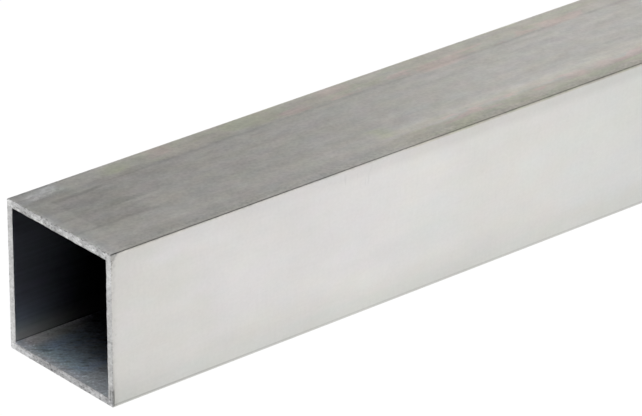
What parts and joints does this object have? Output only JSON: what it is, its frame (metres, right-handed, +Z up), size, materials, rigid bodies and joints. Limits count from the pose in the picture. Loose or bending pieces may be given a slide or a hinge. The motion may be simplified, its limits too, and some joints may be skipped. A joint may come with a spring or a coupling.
{
  "type": "square metal tube",
  "caption": "Straight square aluminium tube with thin even walls, near-sharp corners, an open square bore and sawn ends.",
  "frame": {"origin": "middle of the length, centred under the tube on the face that it lies on", "axes": "+X along the tube, towards the end outside the picture; +Z up, out of the top wall; -Y out of the side wall that the picture shows"},
  "size_m": [0.3048, 0.0254, 0.0254],
  "materials": {
    "mill_aluminium": "mill finish: dull satin with fine lengthwise die lines"
  },
  "bodies": {
    "root": {"square_tube": "mill_aluminium"}
  },
  "joints": []
}
